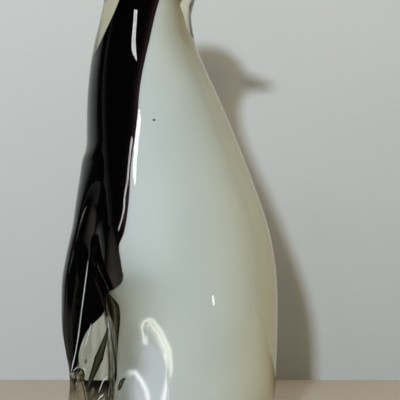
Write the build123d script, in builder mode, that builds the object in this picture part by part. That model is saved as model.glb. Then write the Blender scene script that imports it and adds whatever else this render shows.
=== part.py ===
from build123d import *
import math
import os

# A standing penguin in cased glass, made hot in one session and fused into one figure.
# A white gather is the belly, a strip of black glass is laid down its back, and thick clear
# glass is gathered over both. The tail fin is pulled out of the clear glass at the back and
# pressed from both sides, and the beak, eyes and feet are bits of glass put on last.
# +X is the way the penguin faces, +Z is up, and the origin is on the ground under the middle
# of its length. All sizes are in millimetres.

# Driving sizes of the whole figure
figure_height = 247.0
body_depth = 92.2
body_width = 88.0
tail_reach = 57.4
toe_reach = 57.4

# The clear glass over the body, in section from the ground to the neck.
# Each row holds: height as a share of figure_height, back and front reach as shares of
# body_depth, and width as a share of body_width.
skin_shares = (
    (0.0, -0.315, 0.392, 0.745),
    (0.012, -0.358, 0.455, 0.86),
    (0.042, -0.392, 0.508, 0.93),
    (0.073, -0.412, 0.53, 0.96),
    (0.134, -0.424, 0.541, 0.982),
    (0.19, -0.434, 0.547, 0.995),
    (0.275, -0.45, 0.55, 1.0),
    (0.346, -0.461, 0.539, 0.988),
    (0.417, -0.469, 0.504, 0.956),
    (0.478, -0.477, 0.452, 0.91),
    (0.549, -0.483, 0.382, 0.842),
    (0.619, -0.484, 0.306, 0.768),
    (0.68, -0.48, 0.236, 0.7),
    (0.741, -0.466, 0.163, 0.627),
    (0.791, -0.445, 0.108, 0.564),
    (0.842, -0.412, 0.083, 0.507),
    (0.883, -0.387, 0.08, 0.473),
    (0.913, -0.366, 0.087, 0.459),
    (0.943, -0.336, 0.076, 0.42),
)

# The white gather inside it, in the same kind of rows.
core_shares = (
    (0.03, -0.2, 0.36, 0.64),
    (0.036, -0.24, 0.41, 0.73),
    (0.05, -0.277, 0.447, 0.8),
    (0.085, -0.3, 0.477, 0.85),
    (0.16, -0.315, 0.492, 0.875),
    (0.25, -0.335, 0.497, 0.89),
    (0.3, -0.37, 0.494, 0.888),
    (0.346, -0.41, 0.484, 0.882),
    (0.417, -0.419, 0.45, 0.852),
    (0.478, -0.423, 0.398, 0.806),
    (0.549, -0.425, 0.326, 0.732),
    (0.619, -0.418, 0.244, 0.652),
    (0.7, -0.388, 0.146, 0.548),
    (0.76, -0.346, 0.052, 0.448),
    (0.81, -0.303, -0.014, 0.366),
    (0.86, -0.263, -0.055, 0.281),
    (0.9, -0.235, -0.073, 0.237),
    (0.93, -0.21, -0.07, 0.2),
)

# Head, and the heart of colour in it
head_length = 44.0
head_width = 40.0
head_height = 40.0
head_setback = 11.0
heart_length = 25.0
heart_width = 23.0
heart_height = 23.0

# Black strip down the back, laid on the white gather
strip_thickness = 2.4
# Its edge as seen from the side, from the forehead down to the tip in the tail. Each row
# holds: height as a share of figure_height and place along the body as a share of body_depth.
strip_edge_shares = (
    (0.963, 0.18),
    (0.94, 0.035),
    (0.915, -0.055),
    (0.883, -0.095),
    (0.79, -0.152),
    (0.696, -0.19),
    (0.623, -0.214),
    (0.548, -0.243),
    (0.478, -0.258),
    (0.41, -0.282),
    (0.385, -0.292),
    (0.352, -0.285),
    (0.32, -0.265),
    (0.29, -0.305),
    (0.262, -0.37),
    (0.235, -0.425),
    (0.19, -0.505),
    (0.14, -0.55),
)

# Tail fin. Its thick back edge as seen from the side: height as a share of figure_height,
# reach behind the origin as a share of tail_reach, and radius as a share of fin_radius.
fin_radius = 13.5
fin_shares = (
    (0.0, -0.975, 0.57),
    (0.016, -1.0, 0.56),
    (0.042, -0.975, 0.5),
    (0.085, -0.93, 0.44),
    (0.13, -0.928, 0.4),
    (0.168, -0.958, 0.48),
    (0.215, -0.992, 0.63),
    (0.26, -1.0, 0.81),
    (0.32, -0.99, 0.93),
    (0.37, -0.953, 0.98),
    (0.41, -0.915, 1.0),
    (0.46, -0.86, 0.98),
    (0.51, -0.8, 0.91),
    (0.55, -0.75, 0.78),
)
web_thickness = 11.0
web_height = 100.0
web_setback = 10.0
tail_cover = 2.2

# Marks of the two paddles that pressed the lower back in beside the tail
paddle_length = 56.0
paddle_depth = 48.0
paddle_height = 98.0
paddle_setback = 30.0
paddle_side = 44.5
paddle_level = 23.0
paddle_cover = 4.6

# Feet: a webbed sole with three toes each
foot_length = 40.0
foot_width = 28.0
foot_height = 12.0
foot_spread = 18.0
foot_splay = 12.0
ankle_radius = 9.0
toe_count = 3
toe_radius = 4.8
toe_groove_radius = 1.6

# Beak, in rows from its root to its tip: place as a share of beak_length, and size as a
# share of its size at the root.
beak_length = 25.0
beak_height = 12.0
beak_width = 11.0
beak_sink = 8.0
beak_dip = 8.0
beak_shares = (
    (0.0, 1.0),
    (0.3, 0.92),
    (0.55, 0.66),
    (0.78, 0.4),
    (0.93, 0.24),
    (1.0, 0.12),
)

# Eyes
eye_radius = 3.2
eye_bulge = 1.5
eye_bearing = 68.0
eye_rise = 16.0
pupil_radius = 1.8
pupil_bulge = 0.5


def full_rows(rows):
    """Rows of (height, back, front, width) in full size from rows of shares."""
    return [
        (height * figure_height, back * body_depth, front * body_depth, width * body_width)
        for height, back, front, width in rows
    ]


def oval_loft(rows):
    """A solid through level rows of (height, back, front, width)."""
    with BuildPart() as body:
        for height, back, front, width in rows:
            with BuildSketch(Plane.XY.offset(height)):
                with Locations(((back + front) / 2, 0)):
                    Ellipse((front - back) / 2, width / 2)
        loft()
    return body.part


def egg(length, width, height, place):
    """A ball stretched to three sizes, with its middle at a place."""
    with BuildPart() as ball:
        Sphere(1)
    return Pos(*place) * scale(ball.part, by=(length / 2, width / 2, height / 2))


def side_slab(back, top, thickness):
    """A slab on the middle plane, from the ground to a top and from a back to the origin."""
    with BuildPart() as slab:
        with BuildSketch(Plane.XZ):
            with BuildLine():
                Polyline((back, 0), (0, 0), (0, top), (back, top), close=True)
            make_face()
        extrude(amount=thickness / 2, both=True)
    return slab.part


# Clear glass: body and neck, with the head on top
head_middle = (-head_setback, 0, figure_height - head_height / 2)
body = oval_loft(full_rows(skin_shares))
head = egg(head_length, head_width, head_height, head_middle)
with BuildPart() as skin:
    add(body)
    add(head)

# Press marks of the paddles, and the same set out by the glass over the white gather
paddles = []
wide_paddles = []
for side in (-1, 1):
    place = (-paddle_setback, side * paddle_side, paddle_level)
    size = (paddle_length, paddle_depth, paddle_height)
    paddles.append(egg(*size, place))
    wide_paddles.append(egg(*(length + 2 * paddle_cover for length in size), place))

# Colour inside the clear glass: the white gather, with the heart of the head on top
core_rows = full_rows(core_shares)
gather = oval_loft(core_rows)
heart = egg(heart_length, heart_width, heart_height, head_middle)
with BuildPart() as colour:
    add(gather)
    add(heart)
    add(wide_paddles, mode=Mode.SUBTRACT)

# The gather without the thickness of the strip
bare_gather = oval_loft(
    [
        (height, back + strip_thickness, front - strip_thickness, width - 2 * strip_thickness)
        for height, back, front, width in core_rows
    ]
)

# Thick back edge of the fin, and the black in it under a cover of clear glass
fin_rows = []
black_fin_rows = []
for height_share, reach_share, radius_share in fin_shares:
    height = height_share * figure_height
    back = reach_share * tail_reach
    across = 2 * radius_share * fin_radius
    fin_rows.append((height, back, back + across, across))
    black_fin_rows.append((height, back + tail_cover, back + across - tail_cover, across - 2 * tail_cover))

# Space that the black fills as seen from the side: behind and above its edge
strip_edge = [(place * body_depth, height * figure_height) for height, place in strip_edge_shares]
far_back = -tail_reach - body_depth
far_up = figure_height + body_depth
with BuildPart() as strip_space:
    with BuildSketch(Plane.XZ):
        with BuildLine():
            Spline(*strip_edge)
            Polyline(
                strip_edge[-1],
                (far_back, strip_edge[-1][1]),
                (far_back, far_up),
                (body_depth, far_up),
                (body_depth, strip_edge[0][1]),
                strip_edge[0],
            )
        make_face()
    extrude(amount=body_width, both=True)

black_fin = oval_loft(black_fin_rows)
black_web = side_slab(web_setback - tail_reach, web_height, web_thickness - 2 * tail_cover)
with BuildPart() as black_back:
    add(colour.part)
    add(black_fin)
    add(black_web)
    add(bare_gather, mode=Mode.SUBTRACT)
    add(strip_space.part, mode=Mode.INTERSECT)
black_back.part.label = "black_back"

with BuildPart() as white_core:
    add(colour.part)
    add(black_back.part, mode=Mode.SUBTRACT)
white_core.part.label = "white_core"

# Eyes: a white bead set into each side of the head, with a black pupil set into the bead
beads = {}
pupils = {}
for side, name in ((-1, "right"), (1, "left")):
    turn = math.radians(side * eye_bearing)
    lift = math.radians(eye_rise)
    way = Vector(math.cos(lift) * math.cos(turn), math.cos(lift) * math.sin(turn), math.sin(lift))
    reach = Vector(head_length / 2 * way.X, head_width / 2 * way.Y, head_height / 2 * way.Z)
    out = reach.normalized()
    bead_middle = Vector(*head_middle) + reach - out * (eye_radius - eye_bulge)
    pupil_middle = bead_middle + out * (eye_radius + pupil_bulge - pupil_radius)
    with BuildPart() as pupil:
        with Locations(Plane(origin=pupil_middle, z_dir=out)):
            Sphere(pupil_radius)
    with BuildPart() as bead:
        with Locations(Plane(origin=bead_middle, z_dir=out)):
            Sphere(eye_radius)
        add(pupil.part, mode=Mode.SUBTRACT)
    beads[name] = bead.part
    pupils[name] = pupil.part

with BuildPart() as clear_casing:
    add(skin.part)
    add(paddles, mode=Mode.SUBTRACT)
    add(colour.part, mode=Mode.SUBTRACT)
    add(black_back.part, mode=Mode.SUBTRACT)
    for name in beads:
        add(beads[name], mode=Mode.SUBTRACT)
        add(pupils[name], mode=Mode.SUBTRACT)
clear_casing.part.label = "clear_casing"

fin = oval_loft(fin_rows)
web = side_slab(web_setback - tail_reach, web_height, web_thickness)
with BuildPart() as tail:
    add(fin)
    add(web)
    add(skin.part, mode=Mode.SUBTRACT)
    add(black_back.part, mode=Mode.SUBTRACT)
tail.part.label = "tail"

# Beak, seated on the front of the head
dip = math.radians(beak_dip)
beak_way = Vector(math.cos(dip), 0, -math.sin(dip))
beak_root = Vector(*head_middle) + Vector(head_length / 2 - beak_sink, 0, 0)
with BuildPart() as beak:
    for place_share, size_share in beak_shares:
        middle = beak_root + beak_way * place_share * beak_length
        with BuildSketch(Plane(origin=middle, x_dir=(0, 1, 0), z_dir=beak_way)):
            Ellipse(size_share * beak_width / 2, size_share * beak_height / 2)
    loft()
    add(skin.part, mode=Mode.SUBTRACT)
beak.part.label = "beak"

# Foot, drawn with its ankle over the origin and its toes along +X
toe_place = foot_length - ankle_radius - toe_radius
toe_fan = math.asin((foot_width / 2 - toe_radius) / toe_place)
toe_turns = [toe_fan * (2 * toe / (toe_count - 1) - 1) for toe in range(toe_count)]
toe_places = [(toe_place * math.cos(turn), toe_place * math.sin(turn)) for turn in toe_turns]
instep = egg(2 * (toe_place + 2 * toe_radius), foot_width + 4 * toe_radius, 2 * foot_height, (0, 0, 0))
with BuildPart() as foot:
    with BuildSketch(Plane.XY):
        Circle(ankle_radius)
        with BuildLine():
            Polyline((0, -ankle_radius), *toe_places, (0, ankle_radius), close=True)
        make_face()
        with Locations(*toe_places):
            Circle(toe_radius)
    extrude(amount=foot_height)
    add(instep, mode=Mode.INTERSECT)
    for turn, next_turn in zip(toe_turns, toe_turns[1:]):
        middle_turn = (turn + next_turn) / 2
        start = Vector(0, 0, foot_height + toe_groove_radius)
        end = Vector(toe_place * math.cos(middle_turn), toe_place * math.sin(middle_turn), foot_height / 2)
        with BuildSketch(Plane(origin=start, z_dir=end - start)):
            Circle(toe_groove_radius)
        extrude(amount=2 * foot_length, mode=Mode.SUBTRACT)

feet = {}
for side, name in ((-1, "right"), (1, "left")):
    turned = Rot(0, 0, side * foot_splay) * foot.part
    forward = toe_reach - turned.bounding_box().max.X
    placed = Pos(forward, side * foot_spread, 0) * turned
    with BuildPart() as seated_foot:
        add(placed)
        add(skin.part, mode=Mode.SUBTRACT)
    feet[name] = seated_foot.part

os.makedirs("parts", exist_ok=True)
export_step(clear_casing.part, "parts/clear_casing.step")
export_step(white_core.part, "parts/white_core.step")
export_step(black_back.part, "parts/black_back.step")
export_step(tail.part, "parts/tail.step")
export_step(beak.part, "parts/beak.step")
for name in ("right", "left"):
    feet[name].label = name + "_foot"
    export_step(feet[name], "parts/" + name + "_foot.step")
    beads[name].label = name + "_eye"
    export_step(beads[name], "parts/" + name + "_eye.step")
    pupils[name].label = name + "_pupil"
    export_step(pupils[name], "parts/" + name + "_pupil.step")
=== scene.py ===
import bpy
import math
import numpy as np
from mathutils import Matrix, Vector


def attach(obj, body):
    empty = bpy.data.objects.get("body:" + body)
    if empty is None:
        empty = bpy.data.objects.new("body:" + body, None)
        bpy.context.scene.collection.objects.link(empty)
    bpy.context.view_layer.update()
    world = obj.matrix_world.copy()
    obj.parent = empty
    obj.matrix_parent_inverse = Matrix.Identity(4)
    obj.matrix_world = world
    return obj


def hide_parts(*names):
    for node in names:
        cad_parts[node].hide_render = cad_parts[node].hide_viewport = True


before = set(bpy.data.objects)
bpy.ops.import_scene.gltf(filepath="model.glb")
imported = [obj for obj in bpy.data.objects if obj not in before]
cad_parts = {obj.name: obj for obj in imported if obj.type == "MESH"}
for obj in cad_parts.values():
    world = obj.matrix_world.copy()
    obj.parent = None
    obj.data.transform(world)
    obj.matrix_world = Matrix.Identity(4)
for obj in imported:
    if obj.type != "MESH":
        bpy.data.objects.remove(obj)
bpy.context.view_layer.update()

MM = 0.001

# Sections of the clear glass, in millimetres: height, back, front, half width.
SKIN = np.array([
    (0.0, -29.0, 36.1, 32.8),
    (3.0, -31.0, 42.0, 37.8),
    (10.4, -31.5, 46.8, 40.9),
    (18.0, -32.0, 48.9, 42.2),
    (33.1, -32.0, 49.9, 43.2),
    (46.9, -32.5, 50.4, 43.8),
    (67.9, -35.0, 50.7, 44.0),
    (85.5, -40.5, 49.7, 43.5),
    (103.0, -43.2, 46.5, 42.1),
    (118.1, -44.0, 41.7, 40.0),
    (135.6, -44.5, 35.2, 37.0),
    (152.9, -44.6, 28.2, 33.8),
    (168.0, -44.3, 21.8, 30.8),
    (183.0, -43.0, 15.0, 27.6),
    (195.4, -41.0, 10.0, 24.8),
    (208.0, -38.0, 7.7, 22.3),
    (218.1, -35.7, 7.4, 20.8),
    (225.5, -33.7, 8.0, 20.2),
    (232.9, -31.0, 7.0, 18.5),
])

# Sections of the white gather, in the same columns.
GATHER = np.array([
    (7.4, -14.0, 33.2, 28.2),
    (8.9, -18.0, 37.8, 32.1),
    (12.4, -23.0, 41.2, 35.2),
    (21.0, -26.0, 44.0, 37.4),
    (39.5, -26.3, 45.4, 38.5),
    (50.0, -24.5, 45.6, 38.9),
    (61.8, -22.5, 45.8, 39.2),
    (74.1, -25.0, 45.5, 39.1),
    (85.5, -33.0, 44.6, 38.8),
    (103.0, -38.6, 41.5, 37.5),
    (118.1, -39.0, 36.7, 35.5),
    (135.6, -39.2, 30.1, 32.2),
    (152.9, -38.5, 22.5, 28.7),
    (172.9, -35.8, 13.5, 24.1),
    (187.7, -31.9, 4.8, 19.7),
    (200.1, -27.9, -1.2, 16.1),
    (212.4, -24.2, -2.8, 12.8),
    (222.3, -21.7, -3.4, 11.2),
    (229.7, -19.4, -3.4, 9.6),
])

# Thick back edge of the tail fin: height, back, half thickness, half depth.
FIN = np.array([
    (0.0, -56.0, 7.7, 7.0),
    (4.0, -57.3, 7.5, 7.0),
    (10.4, -56.0, 6.7, 6.0),
    (21.0, -53.4, 5.9, 4.2),
    (32.1, -53.3, 5.4, 2.6),
    (41.5, -55.0, 6.4, 3.0),
    (53.1, -56.9, 8.5, 4.3),
    (64.2, -57.3, 10.9, 5.3),
    (79.0, -56.8, 12.5, 6.1),
    (91.4, -54.7, 13.2, 6.0),
    (101.3, -52.5, 13.5, 5.8),
    (113.6, -49.4, 13.2, 6.4),
    (126.0, -45.9, 12.3, 8.0),
    (135.9, -43.0, 10.5, 9.0),
])

# Front edge of the black as seen from the side: height, place.
STRIP_EDGE = np.array([
    (31.0, -52.0),
    (33.8, -50.3),
    (38.3, -49.4),
    (44.6, -47.8),
    (50.4, -45.6),
    (54.2, -43.3),
    (60.5, -37.0),
    (65.0, -33.8),
    (69.5, -30.6),
    (73.5, -27.5),
    (79.0, -23.0),
    (88.0, -24.3),
    (96.5, -25.5),
    (102.0, -23.5),
    (118.0, -21.2),
    (135.0, -20.3),
    (154.0, -17.9),
    (172.0, -16.7),
    (195.0, -12.9),
    (218.0, -8.2),
    (226.0, -5.0),
    (233.0, 3.0),
    (238.0, 15.0),
])

# Middle of the head, and half sizes of the head and of the heart of colour in it.
HEAD = (-11.0, 0.0, 227.0)
HEAD_HALF, HEART_HALF = (22, 20, 20), (12.5, 11.5, 11.5)

NECK_TOP = 233
GATHER_FOOT, GATHER_TOP = 7.4, 229.7
FIN_TOP = 134
WEB_FRONT, WEB_TOP = -10, 100

# Where the black stops, and how far it lies over the gather and under the fin's surface.
BLACK_FOOT = 30.0
BLACK_OVER_GATHER, BLACK_UNDER_FIN = 0.6, 1.8

# Marks pressed in beside the tail, in the clear glass and in the gather: middle, half sizes.
PADDLE, PADDLE_HALF = (-23, 40, 26), (20.5, 19, 35)
GATHER_MARK, GATHER_MARK_HALF = (-24, 48, 26), (20, 22, 36)


def curve(rows, column, z):
    """Smooth line through one column of rows, at heights z."""
    knots, values = rows[:, 0], rows[:, column]
    steps = np.diff(values) / np.diff(knots)
    slopes = np.concatenate(([steps[0]], (steps[1:] + steps[:-1]) / 2, [steps[-1]]))
    i = np.clip(np.searchsorted(knots, z) - 1, 0, len(knots) - 2)
    gap = knots[i + 1] - knots[i]
    t = np.clip((z - knots[i]) / gap, 0, 1)
    return (
        (2 * t**3 - 3 * t**2 + 1) * values[i]
        + (t**3 - 2 * t**2 + t) * gap * slopes[i]
        + (3 * t**2 - 2 * t**3) * values[i + 1]
        + (t**3 - t**2) * gap * slopes[i + 1]
    )


def ease(low, high, v):
    """From 0 at low to 1 at high, with soft ends."""
    t = np.clip((v - low) / (high - low), 0, 1)
    return t * t * (3 - 2 * t)


def join(a, b, k):
    """Union of two fields with a fillet of about k."""
    h = np.clip(0.5 + 0.5 * (b - a) / k, 0, 1)
    return b + (a - b) * h - k * h * (1 - h)


def keep(a, b, k):
    """What two fields share, with an edge rounded by about k."""
    return -join(-a, -b, k)


def egg(x, y, z, middle, half):
    """Distance from an ellipsoid, roughly."""
    u, v, w = x - middle[0], y - middle[1], z - middle[2]
    q = np.sqrt((u / half[0]) ** 2 + (v / half[1]) ** 2 + (w / half[2]) ** 2)
    g = np.sqrt((u / half[0] ** 2) ** 2 + (v / half[1] ** 2) ** 2 + (w / half[2] ** 2) ** 2)
    return q * (q - 1) / np.maximum(g, 1e-6)


def oval(rows, x, y, z):
    """Distance from a stack of level ellipses, roughly."""
    back, front, wide = curve(rows, 1, z), curve(rows, 2, z), curve(rows, 3, z)
    u, deep = x - (back + front) / 2, (front - back) / 2
    q = np.sqrt((u / deep) ** 2 + (y / wide) ** 2)
    g = np.sqrt((u / deep**2) ** 2 + (y / wide**2) ** 2)
    return q * (q - 1) / np.maximum(g, 1e-6)


# Raised lips at the rims of the press marks: place, height.
LIPS = (
    (
        (-14.0, 49.9), (-13.3, 58.9), (-10.7, 60.8), (-6.4, 55.6),
        (-2.7, 47.5), (-1.9, 39.0), (-3.8, 29.5), (-5.6, 22.0),
    ),
    (
        (-29.2, 24.8), (-26.9, 30.4), (-22.7, 34.0), (-19.4, 34.5),
        (-16.1, 30.5), (-13.7, 25.8), (-12.5, 20.0),
    ),
)
LIP_RISE, LIP_WIDTH = 0.6, 1.2


def nearest(x, z, one, two):
    """How far along a line its nearest place is, and the offsets from there."""
    (a, b), (c, d) = one, two
    t = np.clip(((x - a) * (c - a) + (z - b) * (d - b)) / ((c - a) ** 2 + (d - b) ** 2), 0, 1)
    return t, x - a - t * (c - a), z - b - t * (d - b)


def lips(x, z):
    """From 0 far from the raised lips to 1 on them."""
    near = np.full(np.broadcast(x, z).shape, 1e6)
    for line in LIPS:
        for one, two in zip(line, line[1:]):
            _, u, w = nearest(x, z, one, two)
            near = np.minimum(near, u**2 + w**2)
    return np.exp(-near / LIP_WIDTH**2)


def paddles(x, y, z):
    """The marks pressed in beside the tail."""
    return egg(x, np.abs(y), z, PADDLE, PADDLE_HALF)


def fin(x, y, z, inset):
    """Thick back edge of the tail and the pressed web in front of it."""
    back, thick, deep = curve(FIN, 1, z), curve(FIN, 2, z), curve(FIN, 3, z)
    middle = back + deep
    deep, thick = deep - inset * 0.7, thick - inset
    u = x - middle
    q = np.sqrt((u / deep) ** 2 + (y / thick) ** 2)
    g = np.sqrt((u / deep**2) ** 2 + (y / thick**2) ** 2)
    edge = keep(q * (q - 1) / np.maximum(g, 1e-6), z - FIN_TOP, 4)
    half = 3.6 + 2.2 * ease(30, 85, z)
    sheet = keep(np.abs(y) - half + inset, middle - x, 0.5)
    sheet = keep(sheet, np.maximum(x - WEB_FRONT, z - WEB_TOP), 1)
    return join(edge, sheet, 1.4)


def body_glass(x, y, z):
    """Body, neck and head, with the press marks."""
    f = keep(oval(SKIN, x, y, z), z - NECK_TOP, 4)
    f = join(f, egg(x, y, z, HEAD, HEAD_HALF), 6)
    f = keep(f, -paddles(x, y, z), 3)
    return f - LIP_RISE * lips(x, z)


def clear_glass(x, y, z):
    """Outside of all the clear glass but the feet."""
    fillet = 2.0 + 3 * ease(50, 85, z) + 9 * ease(85, 120, z)
    return keep(join(body_glass(x, y, z), fin(x, y, z, 0), fillet), -z, 1.5)


def gather(x, y, z):
    """The white glass and the heart of the head."""
    f = keep(oval(GATHER, x, y, z), z - GATHER_TOP, 3)
    f = keep(f, GATHER_FOOT - z, 6)
    f = join(f, egg(x, y, z, HEAD, HEART_HALF), 3)
    return keep(f, -egg(x, np.abs(y), z, GATHER_MARK, GATHER_MARK_HALF), 10)


def from_edge(x, z):
    """Distance in front of the black's edge."""
    slope = (curve(STRIP_EDGE, 1, z + 0.5) - curve(STRIP_EDGE, 1, z - 0.5))
    return (x - curve(STRIP_EDGE, 1, z)) / np.sqrt(1 + slope**2)


def black_outside(x, y, z):
    """The outside of the strip over the gather, and of the black in the tail."""
    f = gather(x, y, z) - BLACK_OVER_GATHER
    fillet = 2.0 + 5 * ease(50, 78, z) + 4 * ease(85, 120, z)
    return join(f, fin(x, y, z, BLACK_UNDER_FIN), fillet)


def black_glass(x, y, z):
    """The same, behind its edge."""
    return np.maximum(np.maximum(black_outside(x, y, z), from_edge(x, z)), BLACK_FOOT - z)


def slopes_of(field, p, h=0.15):
    """Outward normals of a field at points."""
    parts = []
    for axis in range(3):
        step = np.zeros(3)
        step[axis] = h
        a, b = (p + step).T, (p - step).T
        parts.append((field(*a) - field(*b)) / (2 * h))
    return np.stack(parts, axis=1)


def net(field, low, high, step, pair=None):
    """Points, normals and quads of the surface where a field is zero.

    With a pair of fields, points near both are drawn onto the corner line between them.
    """
    axes = [np.arange(a, b + step, step) for a, b in zip(low, high)]
    grid = np.meshgrid(*axes, indexing="ij", sparse=True)
    shape = tuple(len(a) for a in axes)
    v = np.broadcast_to(field(*grid), shape).astype(np.float32)
    inside = v < 0
    counts = np.zeros(tuple(n - 1 for n in shape), np.int8)
    for corner in np.ndindex(2, 2, 2):
        counts += inside[tuple(slice(c, n - 1 + c) for c, n in zip(corner, shape))]
    mixed = (counts > 0) & (counts < 8)
    cells = np.argwhere(mixed)
    number = np.full(mixed.shape, -1)
    number[mixed] = np.arange(len(cells))
    total, hits = np.zeros((len(cells), 3)), np.zeros((len(cells), 1))
    quads = []
    for axis in range(3):
        one, two = (axis + 1) % 3, (axis + 2) % 3
        along = np.eye(3, dtype=int)[axis]
        for i, j in np.ndindex(2, 2):
            start = cells + i * np.eye(3, dtype=int)[one] + j * np.eye(3, dtype=int)[two]
            end = start + along
            a, b = v[tuple(start.T)], v[tuple(end.T)]
            cut = (a < 0) != (b < 0)
            share = np.where(cut, a / np.where(cut, a - b, 1), 0)[:, None]
            total += np.where(cut[:, None], start + share * along, 0)
            hits += cut[:, None]
        first = [slice(None)] * 3
        first[axis] = slice(0, -1)
        last = [slice(None)] * 3
        last[axis] = slice(1, None)
        change = inside[tuple(first)] != inside[tuple(last)]
        edges = np.argwhere(change)
        edges = edges[
            (edges[:, one] > 0) & (edges[:, two] > 0)
            & (edges[:, one] < shape[one] - 1) & (edges[:, two] < shape[two] - 1)
        ]
        ring = []
        for i, j in ((-1, -1), (0, -1), (0, 0), (-1, 0)):
            cell = edges + i * np.eye(3, dtype=int)[one] + j * np.eye(3, dtype=int)[two]
            ring.append(number[tuple(cell.T)])
        ring = np.stack(ring, axis=1)
        inner = inside[tuple(edges.T)]
        quads.append(np.where(inner[:, None], ring, ring[:, ::-1]))
    p = np.array(low) + step * total / hits
    for _ in range(4):
        g = slopes_of(field, p)
        size = np.maximum((g**2).sum(axis=1), 0.05)
        move = g * (field(*p.T) / size)[:, None]
        length = np.maximum(np.linalg.norm(move, axis=1), 1e-9)[:, None]
        p = p - move * np.minimum(1, 0.4 * step / length)
    g = slopes_of(field, p)
    if pair is not None:
        one, two = pair
        near = np.flatnonzero((np.abs(one(*p.T)) < 0.8 * step) & (np.abs(two(*p.T)) < 0.8 * step))
        q = p[near]
        for _ in range(5):
            a, b = slopes_of(one, q), slopes_of(two, q)
            f, h = one(*q.T), two(*q.T)
            aa, ab, bb = (a * a).sum(1) + 1e-9, (a * b).sum(1), (b * b).sum(1) + 1e-9
            det = np.maximum(aa * bb - ab * ab, 0.05)
            q = q - a * ((f * bb - h * ab) / det)[:, None] - b * ((h * aa - f * ab) / det)[:, None]
        close = np.linalg.norm(q - p[near], axis=1) < 1.5 * step
        p[near[close]] = q[close]
        g[near[close]] = slopes_of(one, q[close])
    return p, g / np.maximum(np.linalg.norm(g, axis=1), 1e-9)[:, None], np.concatenate(quads)


def mesh_object(name, parts, body="root"):
    """One object from sets of points, normals and quads."""
    points, normals, quads, start = [], [], [], 0
    for p, n, q in parts:
        points.append(p)
        normals.append(n)
        quads.append(q + start)
        start += len(p)
    points, normals, quads = np.concatenate(points), np.concatenate(normals), np.concatenate(quads)
    mesh = bpy.data.meshes.new(name)
    mesh.vertices.add(len(points))
    mesh.vertices.foreach_set("co", (points * MM).ravel())
    mesh.loops.add(quads.size)
    mesh.loops.foreach_set("vertex_index", quads.ravel().astype(np.int32))
    mesh.polygons.add(len(quads))
    mesh.polygons.foreach_set("loop_start", np.arange(0, quads.size, 4, dtype=np.int32))
    mesh.update(calc_edges=True)
    mesh.polygons.foreach_set("use_smooth", np.ones(len(quads), bool))
    mesh.normals_split_custom_set_from_vertices([tuple(n) for n in normals])
    mesh.validate()
    ob = bpy.data.objects.new(name, mesh)
    bpy.context.scene.collection.objects.link(ob)
    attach(ob, body)
    return ob


# Materials


def new_material(name):
    mat = bpy.data.materials.new(name)
    mat.use_nodes = True
    nodes, links = mat.node_tree.nodes, mat.node_tree.links
    nodes.clear()
    return mat, nodes, links


def feed(links, socket, value):
    """Set a socket to a constant, or link it to another node's output."""
    if isinstance(value, bpy.types.NodeSocket):
        links.new(value, socket)
    else:
        socket.default_value = value


def object_place(nodes):
    return nodes.new("ShaderNodeTexCoord").outputs["Object"]


def axes_of(nodes, links, place):
    """The X, Y and Z outputs of a place."""
    split = nodes.new("ShaderNodeSeparateXYZ")
    links.new(place, split.inputs[0])
    return split.outputs


def noise(nodes, links, place, scale, detail=2):
    node = nodes.new("ShaderNodeTexNoise")
    node.inputs["Scale"].default_value = scale
    node.inputs["Detail"].default_value = detail
    links.new(place, node.inputs["Vector"])
    return node.outputs["Fac"]


def attribute(nodes, name):
    node = nodes.new("ShaderNodeAttribute")
    node.attribute_name = name
    return node.outputs["Fac"]


def calculate(nodes, links, operation, *values):
    node = nodes.new("ShaderNodeMath")
    node.operation = operation
    for socket, value in zip(node.inputs, values):
        feed(links, socket, value)
    return node.outputs[0]


def span(nodes, links, value, from_low, from_high, low=0, high=1, soft=False):
    """Map a value between two limits onto another range."""
    node = nodes.new("ShaderNodeMapRange")
    if soft:
        node.interpolation_type = "SMOOTHSTEP"
    for name, number in (
        ("From Min", from_low), ("From Max", from_high), ("To Min", low), ("To Max", high),
    ):
        node.inputs[name].default_value = number
    links.new(value, node.inputs["Value"])
    return node.outputs["Result"]


def colours(nodes, links, value, *stops):
    """A colour ramp over a value, from stops of place and colour in rising order."""
    node = nodes.new("ShaderNodeValToRGB")
    elements = node.color_ramp.elements
    for i, (at, colour) in enumerate((stops[0], stops[-1])):
        elements[i].position = at
        elements[i].color = (*colour, 1)
    for at, colour in stops[1:-1]:
        elements.new(at).color = (*colour, 1)
    links.new(value, node.inputs["Fac"])
    return node.outputs["Color"]


def blend(nodes, links, factor, one, two, kind="MIX"):
    """Mix two colours."""
    node = nodes.new("ShaderNodeMix")
    node.data_type = "RGBA"
    node.blend_type = kind
    feed(links, node.inputs["Factor"], factor)
    feed(links, node.inputs[6], one)
    feed(links, node.inputs[7], two)
    return node.outputs[2]


def mix_shaders(nodes, links, factor, one, two):
    node = nodes.new("ShaderNodeMixShader")
    for socket, value in zip(node.inputs, (factor, one, two)):
        links.new(value, socket)
    return node.outputs[0]


def matt(nodes, links, colour, roughness):
    """A shader with no gloss of its own."""
    shade = nodes.new("ShaderNodeBsdfPrincipled")
    links.new(colour, shade.inputs["Base Color"])
    shade.inputs["Roughness"].default_value = roughness
    shade.inputs["Specular IOR Level"].default_value = 0
    return shade.outputs[0]


def material_output(nodes, links, surface):
    out = nodes.new("ShaderNodeOutputMaterial")
    links.new(surface, out.inputs["Surface"])
    return out


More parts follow.
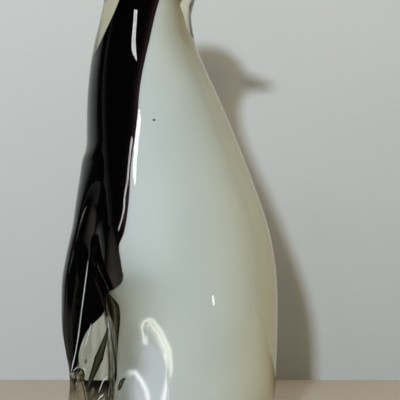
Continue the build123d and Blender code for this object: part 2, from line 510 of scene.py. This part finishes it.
def lets_lamps_in(nodes, links, glass):
    """The glass, but transparent to rays on their way to a lamp.

    Such a ray is shaded where it enters the glass, which gives the wall its shadow, and hardly
    at all where it leaves, which keeps the white inside lit.
    """
    entering, leaving = (0.12, 0.09, 0.05, 1), (0.97, 0.97, 0.95, 1)
    path = nodes.new("ShaderNodeLightPath").outputs
    side = nodes.new("ShaderNodeNewGeometry").outputs
    clear = nodes.new("ShaderNodeBsdfTransparent")
    tint = blend(nodes, links, side["Backfacing"], entering, leaving)
    links.new(tint, clear.inputs["Color"])
    return mix_shaders(nodes, links, path["Is Shadow Ray"], glass, clear.outputs[0])


def glass_material():
    mat, nodes, links = new_material("clear_cased_glass")
    place = object_place(nodes)
    glass = nodes.new("ShaderNodeBsdfPrincipled")
    for name, value in (("Transmission Weight", 1), ("Roughness", 0), ("IOR", 1.5)):
        glass.inputs[name].default_value = value
    bump = nodes.new("ShaderNodeBump")
    bump.inputs["Strength"].default_value = 0.04
    bump.inputs["Distance"].default_value = 0.001
    links.new(noise(nodes, links, place, 45, 1), bump.inputs["Height"])
    links.new(bump.outputs["Normal"], glass.inputs["Normal"])

    # The glass of the tail is tinted olive grey, in streaks drawn down it: the streaks follow the
    # drawn glass, and the darkening is painted shade for the dark surroundings seen through it.
    axes = axes_of(nodes, links, place)
    at_back = span(nodes, links, axes["X"], -0.026, -0.032, soft=True)
    low_down = span(nodes, links, axes["Z"], 0.078, 0.06, soft=True)
    in_tail = calculate(nodes, links, "MULTIPLY", at_back, low_down)
    drawn = nodes.new("ShaderNodeMapping")
    drawn.inputs["Rotation"].default_value = (0, 0.3, 0)
    drawn.inputs["Scale"].default_value = (260, 260, 35)
    links.new(place, drawn.inputs["Vector"])
    streaks = noise(nodes, links, drawn.outputs["Vector"], 1)
    tail_shade_tints = colours(nodes, links, streaks, (0.4, (0.52, 0.51, 0.41)), (0.62, (0.84, 0.83, 0.75)))
    links.new(blend(nodes, links, in_tail, (1, 1, 1, 1), tail_shade_tints), glass.inputs["Base Color"])

    out = material_output(nodes, links, lets_lamps_in(nodes, links, glass.outputs[0]))
    straw = nodes.new("ShaderNodeVolumeAbsorption")
    straw.inputs["Color"].default_value = (0.8, 0.73, 0.14, 1)
    straw.inputs["Density"].default_value = 12
    links.new(straw.outputs[0], out.inputs["Volume"])
    return mat


def white_material():
    mat, nodes, links = new_material("opal_white_glass")
    place = object_place(nodes)
    cloud = noise(nodes, links, place, 18, 3)
    clouds = colours(nodes, links, cloud, (0.3, (0.9, 0.92, 0.93)), (0.7, (1, 1, 1)))
    # Painted light: the white is paler and bluer on the left, towards the key lamp, and creamier
    # on the right.
    across = span(nodes, links, axes_of(nodes, links, place)["X"], -0.03, 0.045)
    painted_light_blue_to_cream = colours(
        nodes, links, across,
        (0, (0.62, 0.66, 0.68)), (0.5, (0.5, 0.535, 0.52)), (1, (0.56, 0.56, 0.47)),
    )
    # Painted shade: the white is greyed inside the pressed mark beside the tail.
    painted_dent_shade = attribute(nodes, "painted_dent_shade")
    dent_shaded = blend(nodes, links, painted_dent_shade, painted_light_blue_to_cream, (0.36, 0.37, 0.33, 1))
    clouded = blend(nodes, links, 1, dent_shaded, clouds, "MULTIPLY")
    # Painted highlight: the white is made paler along the raised lips of the press marks.
    lit = blend(nodes, links, attribute(nodes, "painted_lip_highlight"), clouded, (0.95, 0.97, 0.95, 1))

    # Painted shade: dark bands with an olive tone along the middle of the back, below the black,
    # for the dark surroundings seen through the clear glass there.
    painted_olive_band = attribute(nodes, "painted_olive_band")
    painted_olive_shade = colours(
        nodes, links, painted_olive_band,
        (0, (0, 0, 0)), (0.1, (0.015, 0.016, 0.01)), (0.3, (0.06, 0.06, 0.032)),
        (0.5, (0.16, 0.155, 0.085)), (0.8, (0.05, 0.05, 0.028)), (1, (0.02, 0.02, 0.012)),
    )
    in_painted_band = calculate(nodes, links, "GREATER_THAN", painted_olive_band, 0.02)
    cover = blend(nodes, links, in_painted_band, lit, painted_olive_shade)
    material_output(nodes, links, matt(nodes, links, cover, 0.6))
    return mat


def black_material():
    mat, nodes, links = new_material("dark_amethyst_glass")
    strip = colours(
        nodes, links, attribute(nodes, "from_edge"),
        (0, (0.0012, 0.001, 0.001)), (0.6, (0.005, 0.003, 0.0035)), (1, (0.026, 0.015, 0.018)),
    )
    # The top of this ramp is a painted highlight, for the thin white tubes that stand for bright
    # lines in the tail.
    seams_and_highlight_lines = colours(
        nodes, links, attribute(nodes, "seam"),
        (0, (0, 0, 0)), (0.2, (0.02, 0.021, 0.013)),
        (0.5, (0.16, 0.155, 0.085)), (1, (0.8, 0.82, 0.8)),
    )
    both = blend(nodes, links, 1, strip, seams_and_highlight_lines, "ADD")
    material_output(nodes, links, matt(nodes, links, both, 0.5))
    return mat


def amber_material():
    mat, nodes, links = new_material("amber_glass")
    cloud = noise(nodes, links, object_place(nodes), 120)
    amber = colours(nodes, links, cloud, (0, (0.5, 0.13, 0.01)), (1, (0.75, 0.28, 0.03)))
    shade = nodes.new("ShaderNodeBsdfPrincipled")
    links.new(amber, shade.inputs["Base Color"])
    shade.inputs["Roughness"].default_value = 0.06
    shade.inputs["IOR"].default_value = 1.5
    material_output(nodes, links, shade.outputs[0])
    return mat


clear_mat, white_mat, black_mat, amber_mat = (
    glass_material(), white_material(), black_material(), amber_material()
)

# The glass

STEP = 1.0
LOW, HIGH = (-60, -46, -2), (53, 46, 249)


def bubble(middle, half, lean=0.0):
    """A pocket of air, as a closed sheet that faces inwards."""
    turn = math.radians(lean)
    size = max(half) * 1.3

    def field(x, y, z):
        u, w = x - middle[0], z - middle[2]
        return egg(
            u * math.cos(turn) - w * math.sin(turn), y - middle[1],
            u * math.sin(turn) + w * math.cos(turn), (0, 0, 0), half,
        )

    low, high = [m - size for m in middle], [m + size for m in middle]
    p, n, q = net(field, low, high, min(half) / 3)
    return p, -n, q[:, ::-1]


# Bubbles in the tail: middle, half sizes, lean in degrees.
BUBBLES = (
    ((-48.0, -0.6, 30.5), (2.6, 2.0, 3.6), 8),
    ((-30.6, -1.0, 23.0), (2.6, 2.0, 4.2), 35),
    ((-42.5, 0.8, 20.0), (1.1, 0.9, 4.6), 20),
    ((-36.5, -1.2, 17.0), (1.3, 1.0, 3.0), 30),
    ((-45.0, -1.4, 37.5), (0.6, 0.5, 1.2), 10),
    ((-50.5, -1.6, 24.0), (0.7, 0.6, 1.0), 0),
    ((-33.5, 1.2, 14.0), (0.9, 0.8, 1.6), 25),
)

# Dark seams in the tail: ends, half widths, and how light they are along their middle.
SEAMS = (
    ((-33.5, 54.0), (-38.5, 39.0), (0.7, 2.1), 0.27),
    ((-38.5, 39.0), (-44.5, 23.0), (2.1, 0.8), 0.27),
    ((-31.0, 26.0), (-36.0, 13.0), (0.8, 1.5), 0.3),
)
SEAM_SIDES = 0.15


def seams(x, y, z):
    """Rods drawn out in the glass of the tail."""
    total = 1e3
    for one, two, (start, end), _ in SEAMS:
        t, u, w = nearest(x, z, one, two)
        away = np.sqrt(u**2 + (y * 1.3) ** 2 + w**2)
        total = join(total, away - (start + t * (end - start)), 0.5)
    return total


def seam_shade(x, z):
    """Light along the middle of each seam, dark at its sides."""
    best, shade = np.full(x.shape, 1e6), np.zeros(x.shape)
    for one, two, (start, end), light in SEAMS:
        t, u, w = nearest(x, z, one, two)
        share = np.hypot(u, w) / (start + t * (end - start))
        own = SEAM_SIDES + (light - SEAM_SIDES) * (1 - ease(0.3, 0.9, share))
        shade = np.where(share < best, own, shade)
        best = np.minimum(best, share)
    return shade


# Painted highlights, as thin white tubes just under the clear surface: radius, then places and
# heights.
HIGHLIGHT_THREADS = (
    (
        0.3, (-43.6, 88.0), (-44.2, 83.0), (-45.5, 73.0), (-46.9, 63.0),
        (-48.5, 50.5), (-50.9, 38.0), (-51.9, 32.0),
    ),
    (0.35, (-42.0, 56.5), (-43.4, 51.0), (-45.0, 45.5)),
    (0.25, (-33.6, 60.5), (-32.4, 48.0), (-31.0, 39.5)),
    (0.2, (-47.0, 34.5), (-45.6, 33.4), (-45.0, 31.0)),
    (0.2, (-51.0, 33.0), (-49.6, 34.6), (-48.2, 34.8)),
    (0.2, (-38.5, 22.0), (-36.5, 27.5), (-34.0, 30.0)),
    (0.2, (-41.0, 14.0), (-38.0, 19.5), (-36.0, 21.0)),
)
THREAD_DEPTH, THREAD_SIDES = 0.25, 8


def side_of(field, x, z, depth):
    """How far out a field reaches at a place and height, less a depth."""
    y = np.linspace(0, 45, 901)
    inside = np.flatnonzero(field(x + 0 * y, y, z + 0 * y) < -depth)
    return y[inside[-1]] if len(inside) else 0.0


def thread(radius, *line):
    """A thin tube through points, on both sides of the figure."""
    places = []
    for (a, b), (c, d) in zip(line, line[1:]):
        n = max(2, int(math.hypot(c - a, d - b) / 1.5))
        places += [(a + (c - a) * t / n, b + (d - b) * t / n) for t in range(n)]
    places.append(line[-1])
    depth = THREAD_DEPTH + radius
    middle = np.array([(x, -side_of(clear_glass, x, z, depth), z) for x, z in places])
    along = np.gradient(middle, axis=0)
    along /= np.linalg.norm(along, axis=1)[:, None]
    one = np.cross(along, (0.0, 1.0, 0.0))
    one /= np.linalg.norm(one, axis=1)[:, None]
    two = np.cross(along, one)
    taper = np.sqrt(np.clip(1 - np.linspace(-1, 1, len(middle)) ** 4, 0.03, 1))
    turns = np.arange(THREAD_SIDES) * 2 * math.pi / THREAD_SIDES
    n = np.cos(turns)[None, :, None] * one[:, None] + np.sin(turns)[None, :, None] * two[:, None]
    p = middle[:, None] + radius * taper[:, None, None] * n
    i, k = np.meshgrid(np.arange(len(middle) - 1), np.arange(THREAD_SIDES), indexing="ij")
    here, there = i.ravel() * THREAD_SIDES, (i.ravel() + 1) * THREAD_SIDES
    k, after = k.ravel(), (k.ravel() + 1) % THREAD_SIDES
    q = np.stack((here + k, here + after, there + after, there + k), axis=1)
    p, n = p.reshape(-1, 3), n.reshape(-1, 3)
    flip = np.array((1.0, -1.0, 1.0))
    return (p, n, q), (p * flip, n * flip, q[:, ::-1])


def store(ob, name, values):
    """Keep a number for each point, for a material to read."""
    ob.data.attributes.new(name, "FLOAT", "POINT").data.foreach_set("value", values)


skin = mesh_object(
    "glass_skin", [net(clear_glass, LOW, HIGH, STEP)] + [bubble(*b) for b in BUBBLES]
)
skin.data.materials.append(clear_mat)
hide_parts("clear_casing", "tail")

white_net = net(gather, LOW, HIGH, STEP)
white = mesh_object("opal_gather", [white_net])
gx, gy, gz = white_net[0].T
# Painted highlight along the raised lips, for the material to lighten the white.
store(white, "painted_lip_highlight", lips(gx, gz) * ease(12, 22, np.abs(gy)))
# Painted shade inside the pressed mark beside the tail, for the material to grey the white.
painted_dent_shade = 0.75 * np.exp(-((gx + 22) / 10) ** 2 - ((gz - 50) / 23) ** 2)
painted_dent_shade += 0.5 * np.exp(-((gx + 19) / 5) ** 2 - ((gz - 38) / 6) ** 2)
store(white, "painted_dent_shade", np.minimum(painted_dent_shade, 1))
# Where the white is painted with the olive shade band along the middle of the back.
reach = 11.5 * (1 - ease(66, 78, gz)) * ease(12, 30, gz) + 0.01
store(white, "painted_olive_band", np.clip(1 - np.abs(gy) / reach, 0, 1) * (gx < 0) * (gz > 12))
white.data.materials.append(white_mat)
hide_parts("white_core")


def edge_plane(x, y, z):
    """Distance in front of the black's edge, the same at every y."""
    return from_edge(x, z) + 0 * y


black_net = net(black_glass, LOW, HIGH, STEP, (black_outside, edge_plane))
seam_net = net(seams, (-50, -4, 8), (-20, 4, 72), 0.5)
highlight_threads = [part for line in HIGHLIGHT_THREADS for part in thread(*line)]
speck = (-10.0, -side_of(gather, -10.0, 156.0, 0.0), 156.0)
speck_net = net(
    lambda x, y, z: egg(x, y, z, speck, (0.6, 0.4, 0.5)),
    [v - 1 for v in speck], [v + 1 for v in speck], 0.2,
)
black = mesh_object("black_strip", [black_net, seam_net, speck_net] + highlight_threads)
bx, _, bz = black_net[0].T
edge_shade = ease(-4.5, 0.0, from_edge(bx, bz)) * ease(88, 110, bz)
seam_shades = seam_shade(seam_net[0][:, 0], seam_net[0][:, 2])
rest = np.zeros(len(speck_net[0]))
# The thin white tubes are painted highlights, at the top of the seam ramp.
air = np.ones(sum(len(t[0]) for t in highlight_threads))
for name, values in (
    ("from_edge", (edge_shade, 0 * seam_shades, rest, 0 * air)),
    ("seam", (0 * edge_shade, seam_shades, rest, air)),
):
    store(black, name, np.concatenate(values))
black.data.materials.append(black_mat)
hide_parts("black_back")

for name, mat in (
    ("beak", amber_mat), ("right_eye", white_mat), ("left_eye", white_mat),
    ("right_pupil", black_mat), ("left_pupil", black_mat),
    ("right_foot", clear_mat), ("left_foot", clear_mat),
):
    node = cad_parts[name]
    for slot in node.material_slots:
        slot.material = mat

# Floor and backdrop

WALL_AT = 0.218

# How the wall's light falls off: axis, from, to, share of its colour at each.
WALL_FADES = (("Z", 0, 0.26, 0.8, 0.98), ("X", -0.15, 0.15, 1.04, 0.94))


def plain_material(name, colour, one_sided, near, far):
    """Plain matt paint, darker beyond a distance from the middle to rays that come off glass."""
    mat, nodes, links = new_material(name)
    place = object_place(nodes)
    axes = axes_of(nodes, links, place)
    cloud = noise(nodes, links, place, 3)
    paint = colours(nodes, links, cloud, (0, [c * 0.97 for c in colour]), (1, colour))
    if one_sided:
        # On the backdrop, painted light: the paint is darker towards the floor and to the right.
        for axis, *limits in WALL_FADES:
            scaled = nodes.new("ShaderNodeVectorMath")
            scaled.operation = "SCALE"
            links.new(paint, scaled.inputs[0])
            links.new(span(nodes, links, axes[axis], *limits), scaled.inputs["Scale"])
            paint = scaled.outputs[0]
    away = calculate(nodes, links, "ABSOLUTE", axes["X" if one_sided else "Y"])
    path = nodes.new("ShaderNodeLightPath").outputs
    off_glass = calculate(
        nodes, links, "MULTIPLY", span(nodes, links, away, near, far, soft=True),
        path["Is Glossy Ray"],
    )
    dimmed = blend(nodes, links, off_glass, paint, (0.015, 0.015, 0.015, 1))
    surface = matt(nodes, links, dimmed, 0.9)
    if one_sided:
        side = nodes.new("ShaderNodeNewGeometry").outputs
        clear = nodes.new("ShaderNodeBsdfTransparent").outputs[0]
        surface = mix_shaders(nodes, links, side["Backfacing"], surface, clear)
    material_output(nodes, links, surface)
    return mat


def plane(name, corners, mat):
    mesh = bpy.data.meshes.new(name)
    mesh.from_pydata(corners, [], [(0, 1, 2, 3)])
    ob = bpy.data.objects.new(name, mesh)
    bpy.context.scene.collection.objects.link(ob)
    ob.data.materials.append(mat)
    return ob


plane(
    "floor",
    [(-3, -3, 0), (3, -3, 0), (3, 3, 0), (-3, 3, 0)],
    plain_material("pale_floor", (0.62, 0.57, 0.5), False, 0.03, 0.2),
)
plane(
    "backdrop",
    [(-2.5, WALL_AT, 0), (2.5, WALL_AT, 0), (2.5, WALL_AT, 2.5), (-2.5, WALL_AT, 2.5)],
    plain_material("pale_backdrop", (0.61, 0.635, 0.62), True, 0.2, 0.9),
)


# Lamps, world and camera


def lamp(name, place, aim, size, watts, colour=(1, 1, 1)):
    data = bpy.data.lights.new(name, "AREA")
    data.shape = "RECTANGLE"
    data.size, data.size_y = size
    data.energy = watts
    data.color = colour
    ob = bpy.data.objects.new(name, data)
    bpy.context.scene.collection.objects.link(ob)
    ob.location = place
    ob.rotation_euler = (Vector(aim) - Vector(place)).to_track_quat("-Z", "Y").to_euler()
    ob.visible_camera = False
    ob.visible_transmission = False
    return ob


def streak(name, top, bottom, wide, watts, colour=(1, 1, 1), aim=(0, 0, 0.12)):
    """A long narrow lamp between two places."""
    top, bottom = Vector(top), Vector(bottom)
    middle = (top + bottom) / 2
    ob = lamp(name, middle, aim, (wide, (top - bottom).length), watts, colour)
    up = (top - bottom).normalized()
    back = middle - Vector(aim)
    back = (back - up * back.dot(up)).normalized()
    side = up.cross(back)
    ob.rotation_euler = Matrix((side, up, back)).transposed().to_euler()
    return ob


WARM, COOL = (1, 0.8, 0.52), (0.92, 1, 1.1)
key = lamp("key", (-0.8, -0.85, 1.1), (0, 0, 0.1), (0.5, 0.5), 1.8, WARM)
key.visible_glossy = False
lamp("top", (0.5, -0.3, 1.3), (0, 0, 0.1), (0.8, 0.8), 1.2, WARM)
streak("gleam", (-0.47, -1.02, 0.9), (-0.47, -1.02, 0.78), 0.18, 0.95)
streak("strip", (-0.33, -0.71, 0.45), (-0.61, -0.585, 0.285), 0.024, 0.36)
streak("line", (-0.728, -0.828, 0.441), (-1.15, -0.25, 0.06), 0.015, 0.4)
streak("tick", (0.212, -0.379, 0.087), (0.212, -0.379, 0.067), 0.018, 0.017)
front = lamp("front", (-0.2, -1.5, 0.44), (0, 0, 0.12), (0.06, 0.06), 17.5, COOL)
front.visible_glossy = False
fill = lamp("fill", (0.9, 0.08, 0.35), (0, 0, 0.13), (0.2, 0.6), 2.8, WARM)
fill.visible_glossy = False

# The room is pale behind the wall and dark on the camera's side.
world = bpy.data.worlds.new("world")
bpy.context.scene.world = world
world.use_nodes = True
wn, wl = world.node_tree.nodes, world.node_tree.links
wn.clear()
direction = wn.new("ShaderNodeTexCoord").outputs["Generated"]
to_wall = calculate(wn, wl, "MULTIPLY_ADD", axes_of(wn, wl, direction)["Y"], 0.5, 0.5)
room = colours(wn, wl, to_wall, (0.45, (0.004, 0.004, 0.004)), (0.75, (0.5, 0.51, 0.5)))
path = wn.new("ShaderNodeLightPath").outputs
seen = blend(wn, wl, path["Is Camera Ray"], room, (0.5, 0.51, 0.49, 1))
lit = blend(wn, wl, path["Is Diffuse Ray"], seen, (0.045, 0.04, 0.035, 1), "LIGHTEN")
background = wn.new("ShaderNodeBackground")
wl.new(lit, background.inputs["Color"])
world_out = wn.new("ShaderNodeOutputWorld")
wl.new(background.outputs[0], world_out.inputs["Surface"])

camera_data = bpy.data.cameras.new("camera")
camera_data.sensor_width = 36
camera_data.lens = 126
camera = bpy.data.objects.new("camera", camera_data)
bpy.context.scene.collection.objects.link(camera)
camera.location = (0.012, -0.7, 0.118)
camera.rotation_euler = (math.radians(90), 0, 0)
bpy.context.scene.camera = camera

bpy.context.scene.view_settings.view_transform = "Standard"
